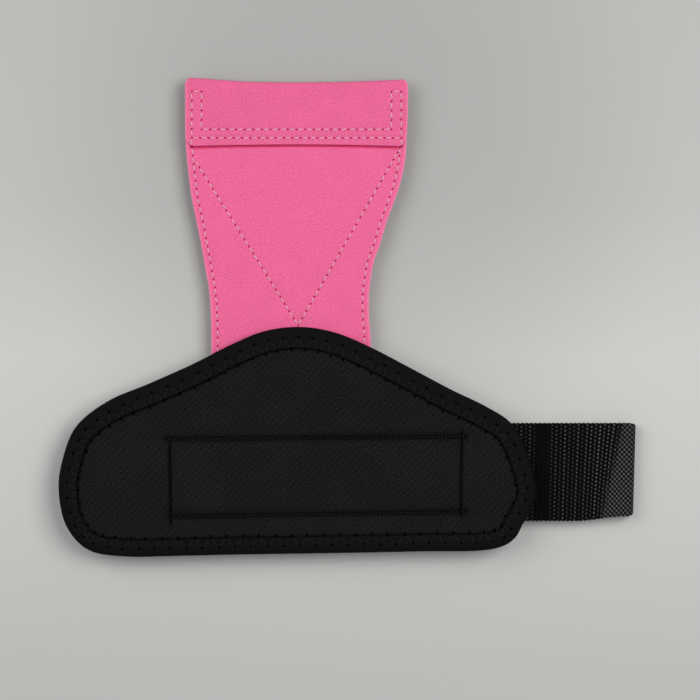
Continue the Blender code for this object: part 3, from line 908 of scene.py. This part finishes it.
def binding_section():
    """The folded tape's section as (distance from the edge, z), and how many points its skin side has."""
    inner_edge, flat = [9.5, 9.45, 9.2, 8.6], np.linspace(7.9, 2.3, 9)
    skin = np.concatenate([inner_edge, flat, [1.6, 1.0, 0.5, 0.15]])
    skin_z = np.where(skin > BINDING_ROUNDING, BINDING_TOP_Z, BINDING_TOP_Z - 2.75 * (1 - quarter(skin)))
    skin_z[:2] = (12.35, 12.7)
    wall = [(0.0, z) for z in (9.6, 9.0, 8.6)]
    foot = np.array([0.3, 0.9, 1.8, 3.2, 5.5, 8.0, 9.4, 9.5])
    foot_z = np.where(foot > BINDING_ROUNDING, BINDING_FOOT_Z, BINDING_FOOT_Z + 1.3 * (1 - quarter(foot)))
    foot_z[-1] = 7.4
    within = [(9.3, 7.75), (3.0, 7.9), (1.6, 9.6), (3.0, 11.9), (9.3, 12.2)]
    return np.array([*zip(skin, skin_z), *wall, *zip(foot, foot_z), *within]), len(skin)


def binding_half(name, side):
    """Tape folded round the pad's edge, raised between its zigzag stitches."""
    around = len(OUTLINE) * OUTLINE_STEP
    joined = np.column_stack([OUTLINE, OUTLINE_NORMALS, np.arange(len(OUTLINE)) * OUTLINE_STEP])
    part = half_of(joined, side)
    first, last = part[0].copy(), part[-1].copy()
    for end in (first, last):
        end[0] = PAD_CUT_X
        end[2:4] = (0.0, -1.0) if end[1] > -50 else (0.0, 1.0)
    part = np.vstack([first, part, last])
    part[1:-1, 4] = np.unwrap(part[1:-1, 4], period=around)
    part[0, 4], part[-1, 4] = part[1, 4] - 0.3, part[-2, 4] + 0.3
    section, skin = binding_section()
    rows, columns = len(part), len(section)
    verts = np.empty((rows, columns, 3))
    beyond = section[:, 0] - BINDING_ROUNDING
    stretch = (binding_widths(part[:, 2:4]) - BINDING_ROUNDING) / (BINDING_REACH - BINDING_ROUNDING)
    depth = np.where(beyond > 0, BINDING_ROUNDING + beyond * stretch[:, None], section[:, 0])
    verts[..., :2] = part[:, None, :2] + part[:, None, 2:4] * depth[..., None]
    verts[..., 2] = section[None, :, 1]
    top = verts[:, :skin].reshape(-1, 3)
    gap, apex_gap = (nearest(top, s).reshape(rows, skin) for s in (ZIGZAG_SAMPLES, ZIGZAG_APEXES))
    swell = 0.10 * np.clip(gap / 1.6, 0, 1) - 0.24 * hump(gap, 0.6) - 0.3 * hump(apex_gap, 0.8)
    verts[:, :skin, 2] += smoothstep(1.8, 3.2, section[:skin, 0])[None] * swell
    # Painted shade: dark needle holes at the zigzag's apexes and a near-black line along the tape's inner
    # edge, where it meets the lining
    dark = np.zeros((rows, columns))
    dark[:, :skin] = 0.75 * hump(apex_gap, 0.7)
    dark[:, :2] = (0.95, 0.8)
    cloth = np.stack(np.broadcast_arrays(part[:, 4][:, None], distances(section)[None]), axis=-1)
    index = np.arange(rows * columns).reshape(rows, columns)
    faces = quads_of(np.hstack([index, index[:, :1]])) + [index[0][::-1].tolist(), index[-1].tolist()]
    return make_piece(
        name, verts.reshape(-1, 3), faces, [LOOKS["binding"]], cloth.reshape(-1, 2), dark.ravel(),
        sharp=np.concatenate([index[0], index[-1]]),
    )


def pad_stitches(name, side):
    """The zigzag and the sewn rectangle of one half of the pad."""
    def here(point):
        return (point[0] > PAD_CUT_X) == (side == 1)

    zigzag = [((*a, 12.5), (*b, 12.62)) for a, b in ZIGZAG_STITCHES if here((a + b) / 2)]
    box = []
    for line in BOX_LONG:
        for start, end in sewn_line(line, pitch=1.35, share=0.55, slant=4.0)[0]:
            if here((start + end) / 2):
                z = lining_height(((start + end) / 2)[None])[0] - 0.2
                box.append(((*start, z), (*end, z)))
    # Dents where the zigzag goes in at the tape's inner edge, and needle holes at its apexes, drawn in
    # near-black painted shade
    marks = [
        ((*(corner - normal * 0.7), 12.7), (*(corner + normal * 1.2), 12.2))
        for corner, normal in ZIGZAG_CORNERS[::2] if here(corner)
    ]
    apexes = [(corner, normal) for corner, normal in ZIGZAG_CORNERS[1::2] if here(corner)]
    threads = join([thread_mesh(zigzag, radius=0.11, arch=0.2), thread_mesh(box, radius=0.24, arch=0.32)])
    marked = thread_mesh(marks, radius=0.27, arch=0.15)
    holes = join([marked, hole_mesh(apexes, 12.78, length=1.1, width=0.75)])
    verts, faces = join([threads, holes])
    is_hole = np.arange(len(faces)) >= len(threads[1])
    return make_piece(name, verts, faces, [LOOKS["black_thread"], LOOKS["needle_mark_shade"]], look_of_face=is_hole)


def build_pad():
    sides = (("left", "left_wing", LEFT_BEND), ("right", "right_wing", RIGHT_BEND))
    for side, (word, wing, zone) in enumerate(sides):
        pad = pad_half(f"pad_{word}_half", side)
        binding = binding_half(f"binding_{word}_half", side)
        threads = pad_stitches(f"pad_stitching_{word}", side)
        for piece in (pad, binding, threads):
            bend_between(piece, "wrist_pad", wing, zone)
        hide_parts(*[f"{layer}_{word}" for layer in ("shell", "core", "lining")])
        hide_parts(f"binding_{word}")
        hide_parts(f"box_stitch_{word}")
        if side == 0:
            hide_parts(*[f"{layer}_centre" for layer in ("shell", "core", "lining")])
            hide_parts("binding_centre_top")
            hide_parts("box_stitch_top")
        else:
            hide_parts("binding_centre_foot")
            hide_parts("box_stitch_foot")


# ---- Webbing strap ----
def weave(s, y, from_turn):
    """Height of the webbing's yarns from 0 to 1: columns across the strap, each of slanting bumps.

    Toward the turned end the columns lean over and close up into a twill.
    """
    below = STRAP_HIGH_Y - y
    lean = 0.03 + 0.19 * np.clip(1 - np.abs(from_turn) / 34, 0, 1) ** 2
    column = (s + lean * below) / COLUMN_PITCH
    lane = column - np.floor(column)
    odd = np.floor(column) % 2
    across = np.clip(np.sin(np.pi * lane), 0, 1) ** 1.3
    slant = np.where(odd == 0, 1.25, -0.45)
    bumps = 0.5 + 0.5 * np.cos(2 * np.pi * (y / BUMP_PITCH + 0.5 * odd + (lane - 0.5) * slant))
    columns = across * (0.30 + 0.70 * bumps)
    turns = [s / TWILL_PITCH[0] + sign * y / TWILL_PITCH[1] for sign in (1, -1)]
    twill = 0.5 + sum(0.25 * np.cos(2 * np.pi * turn) for turn in turns)
    # Some columns lie deeper and darker, the turned end stands a little higher and paler, and the strap dips
    # where it comes out from under the pad, with painted shade in the dip
    depth_and_shade = 0.83 + 0.10 * smoothstep(22.0, 16.0, np.abs(from_turn)) - 0.07 * np.sin(2.4 * np.floor(column))
    # painted shade in the dip beside the pad's edge
    depth_and_shade = depth_and_shade * (1 - 0.4 * hump(from_turn + 37.5, 3.0))
    closed = smoothstep(13.0, 7.0, np.abs(from_turn) - 0.22 * below + 3.0)
    return columns * depth_and_shade * (1 - closed) + (0.30 + 0.57 * twill) * closed


def strap_run(name, path, s0, turn_s):
    """A length of webbing of even thickness along a path in x and z, from s0 along the whole strap."""
    path = even_steps(path, STRAP_STEP)
    run = np.gradient(path, axis=0)
    run /= np.hypot(*run.T)[:, None]
    normals = np.column_stack([-run[:, 1], run[:, 0]])
    width = STRAP_HIGH_Y - STRAP_LOW_Y
    middle = np.linspace(0.75, width - 0.75, int(width / 0.36))
    across = np.concatenate([[0.0, 0.15, 0.4], middle, [width - 0.4, width - 0.15, width]])
    from_edge = np.minimum(across, width - across)
    half = STRAP_THICK / 2 * np.clip(0.22 + 0.78 * np.sqrt(np.clip(from_edge / 0.75, 0, 1)), 0, 1)
    s, y = np.meshgrid(s0 + distances(path), STRAP_LOW_Y + across, indexing="ij")
    from_turn = np.abs(s - turn_s)
    outer = np.sign(across - width / 2)[None]
    serration = 0.16 * np.cos(2 * np.pi * s / COLUMN_PITCH) * hump(from_edge, 0.7)[None] * outer
    # The foot edge rises toward the turn, and the turn's corners are pulled in
    below = STRAP_HIGH_Y - y
    pull = 0.047 * below * smoothstep(24.0, 5.0, from_turn)
    corner = 0.5 * smoothstep(3.6, 0.2, from_turn) * hump(from_edge, 1.6)[None] * -outer
    lean = (below / width - 0.4) * smoothstep(14.0, 2.0, from_turn)
    grids, reliefs = [], []
    for sign, shift in ((1, 0.0), (-1, COLUMN_PITCH / 2 - 0.01)):
        relief = weave(s + shift, y, s - turn_s)
        depth = 0.34 * (1 - relief) * np.clip(from_edge / 0.8, 0.2, 1)[None]
        offset = sign * (half[None] - depth)
        x, z = (path[:, k][:, None] + normals[:, k][:, None] * offset for k in (0, 1))
        grids.append(np.stack([x - lean, y + serration + pull + corner, z], axis=-1)[:, ::-1])
        reliefs.append(relief[:, ::-1])
    cloth = np.stack([s, y], axis=-1)[:, ::-1]
    return thick_sheet(name, *grids, [LOOKS["webbing"]], cloth, reliefs)


def arc(centre, radius, start, end, steps=20):
    angles = np.radians(np.linspace(start, end, steps + 1))
    return [(centre[0] + radius * math.cos(a), centre[1] + radius * math.sin(a)) for a in angles]


def build_strap():
    high, low = WING_STRAP_Z, CENTRE_STRAP_Z
    around = WIRE_RADIUS + STRAP_THICK / 2 + 0.25
    tab = [(-61.0, 4.55), (-76.0, 4.55), (-81.0, 2.2), (-82.0, RING_BAR[1] - around)]
    tab += arc(RING_BAR, around, -90, -270)
    left = tab + [(-58.2, high), (-57.0, high), (-53.9, low), (PAD_CUT_X, low)]
    right = [(PAD_CUT_X, low), (10.2, low), (13.5, high), (STRAP_CUTS_X[0], high)]
    free = [(STRAP_CUTS_X[0], high), (STRAP_CUTS_X[1], high)]
    turn = (high - TAIL_Z) / 2
    fold = [(STRAP_CUTS_X[1], high)] + arc((FOLD_X, (high + TAIL_Z) / 2), turn, 90, -90) + [(-36.0, TAIL_Z)]
    runs = (
        ("strap_ring_end", left, "wrist_pad", "left_wing", LEFT_BEND, ["strap_ring_tab"]),
        ("strap_middle", right, "wrist_pad", "right_wing", RIGHT_BEND, ["strap_centre", "strap_right"]),
        ("strap_hinge", free, "right_wing", "strap", STRAP_BEND, ["strap_free"]),
        ("strap_tail_end", fold, "strap", "strap_tail", FOLD_BEND, ["strap_fold", "strap_tail"]),
    )
    lengths = [float(distances(run[1])[-1]) for run in runs]
    turn_s = sum(lengths[:3]) + FOLD_X - STRAP_CUTS_X[1] + math.pi * turn / 2
    for i, (name, path, a, b, zone, nodes) in enumerate(runs):
        piece = strap_run(name, path, sum(lengths[:i]), turn_s)
        bend_between(piece, a, b, zone)
        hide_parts(*nodes)


def rounded_rectangle(x0, x1, y0, y1, radius, steps=10):
    points = []
    for x, y, start in ((x0, y1, 180), (x1, y1, 90), (x1, y0, 0), (x0, y0, 270)):
        centre = (x + radius if x == x0 else x - radius, y + radius if y == y0 else y - radius)
        points += arc(centre, radius, start, start - 90, steps)
    return np.array(points)


def build_ring():
    middle = (STRAP_LOW_Y + STRAP_HIGH_Y) / 2
    low, high = middle - RING_HALF_WIDTH, middle + RING_HALF_WIDTH
    line = rounded_rectangle(RING_BAR[0] - RING_DEPTH, RING_BAR[0], low, high, RING_CORNER)
    line = even_steps(np.vstack([line, line[:1]]), 0.8)[:-1]
    along = np.roll(line, -1, axis=0) - np.roll(line, 1, axis=0)
    along /= np.hypot(*along.T)[:, None]
    outwards = np.column_stack([-along[:, 1], along[:, 0]])
    sides = 20
    angles = np.linspace(0, 2 * np.pi, sides, endpoint=False)
    verts = np.empty((len(line), sides, 3))
    verts[..., :2] = line[:, None] + outwards[:, None] * (WIRE_RADIUS * np.cos(angles))[None, :, None]
    verts[..., 2] = RING_BAR[1] + WIRE_RADIUS * np.sin(angles)[None]
    index = np.arange(len(line) * sides).reshape(len(line), sides)
    closed = np.pad(index, ((0, 1), (0, 1)), mode="wrap")
    piece = make_piece("strap_ring", verts.reshape(-1, 3), quads_of(closed.T), [LOOKS["steel"]])
    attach(piece, "ring")
    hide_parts("ring")


def build_patch(look, body, ends, heights, relief):
    """A rounded patch of tape with an uneven nap, sewn round its edge."""
    margin, step = 2.0, 0.5
    (x0, x1), (low, high) = ends, heights
    y0, y1 = STRAP_LOW_Y + margin, STRAP_HIGH_Y - margin
    x, y = (np.linspace(start, end, int((end - start) / step) + 1) for start, end in ((x0, x1), (y0, y1)))
    x, y = np.meshgrid(x, y, indexing="ij")
    edge = np.minimum(np.minimum(x - x0, x1 - x), np.minimum(y - y0, y1 - y))
    nap = RANDOM.random(x.shape) * relief * np.clip(edge / 0.6, 0, 1)
    crown = (high - low) / 2 * np.clip(0.5 + edge, 0, 1)
    half = crown - nap - 0.16 * hump(edge - 1.6, 0.4)
    top, bottom = (np.stack([x, y, (low + high) / 2 + sign * half], axis=-1) for sign in (1, -1))
    piece = thick_sheet(f"{look}_tape_patch", top, bottom, [LOOKS[look]], np.stack([x, y], axis=-1))
    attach(piece, body)
    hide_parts(f"{look}_patch")


# ---- Stage ----
SENSOR = 36.0
CAMERA_DISTANCE = 1.2
SEEN_WIDTH = 0.2732
BRACE_MIDDLE = (0.00098, -0.0126, 0.008)


def floor_look():
    """Grey paper with painted light in bands of tone from foot to top, and a painted shadow round the finger
    end.
    """
    look = Look("floor_paper")
    place = look.place()
    y = look.node("ShaderNodeSeparateXYZ", Vector=place).outputs["Y"]
    up = look.node("ShaderNodeMapRange", Value=y, From_Min=-0.15, From_Max=0.15).outputs["Result"]
    # painted light: brighter and darker bands from foot to top
    tones = ((0.03, 0.485), (0.27, 0.540), (0.45, 0.568), (0.65, 0.490), (0.97, 0.450))
    base = look.ramp(up, *[(at, (tone * 0.995, tone * 1.008, tone * 0.960)) for at, tone in tones])
    away = look.node("ShaderNodeVectorMath", {"operation": "DISTANCE"})
    look.fill(away.inputs[0], place)
    look.fill(away.inputs[1], (0.0, 0.06, 0.0))
    # painted shadow round the finger end
    dim = ((0.0, 0.82), (0.06, 0.84), (0.09, 0.89), (0.13, 0.98), (0.16, 1.0))
    shade = look.ramp(away.outputs["Value"], *[(at, (tone,) * 3) for at, tone in dim])
    base = look.mix("MULTIPLY", 1.0, base, shade)
    return look.finish(Base_Color=base, Roughness=0.9, Specular_IOR_Level=0.1)


def area_light(name, place, side, power):
    """A square lamp that faces the origin."""
    light = bpy.data.lights.new(name, "AREA")
    light.shape = "RECTANGLE"
    light.size = light.size_y = side
    light.energy = power
    obj = bpy.data.objects.new(name, light)
    bpy.context.scene.collection.objects.link(obj)
    obj.location = place
    obj.rotation_euler = (-Vector(place)).to_track_quat("-Z", "Y").to_euler()


def build_floor():
    size = 3.0
    corners = [(-size, -size, 0), (size, -size, 0), (size, size, 0), (-size, size, 0)]
    data = bpy.data.meshes.new("floor")
    data.from_pydata(corners, [], [(0, 1, 2, 3)])
    data.materials.append(floor_look())
    floor = bpy.data.objects.new("floor", data)
    floor.location.z = -0.0001
    bpy.context.scene.collection.objects.link(floor)


def build_camera():
    data = bpy.data.cameras.new("camera")
    data.sensor_width = SENSOR
    data.lens = SENSOR * CAMERA_DISTANCE / SEEN_WIDTH
    data.clip_end = 20.0
    camera = bpy.data.objects.new("camera", data)
    camera.location = Vector(BRACE_MIDDLE) + Vector((0, 0, CAMERA_DISTANCE))
    bpy.context.scene.collection.objects.link(camera)
    bpy.context.scene.camera = camera


def build_stage():
    build_floor()
    world = bpy.data.worlds.new("studio")
    world.use_nodes = True
    background = world.node_tree.nodes["Background"]
    background.inputs["Color"].default_value = (0.93, 0.96, 1.0, 1.0)
    background.inputs["Strength"].default_value = 0.31
    bpy.context.scene.world = world
    area_light("key", (0.55, 0.20, 0.98), 0.7, 8.4)
    area_light("fill", (-0.62, 0.25, 0.80), 0.8, 4.9)
    build_camera()
    bpy.context.scene.view_settings.view_transform = "Standard"
    bpy.context.scene.view_settings.look = "None"


def main():
    build_flap()
    build_flap_stitches()
    build_pad()
    build_strap()
    build_ring()
    build_patch("hook", "strap_tail", (-35.0, -6.0), (1.5, 2.15), 0.22)
    build_patch("loop", "wrist_pad", (-50.0, 6.0), (2.4, 2.95), 0.16)
    build_stage()


main()
bpy.context.view_layer.update()
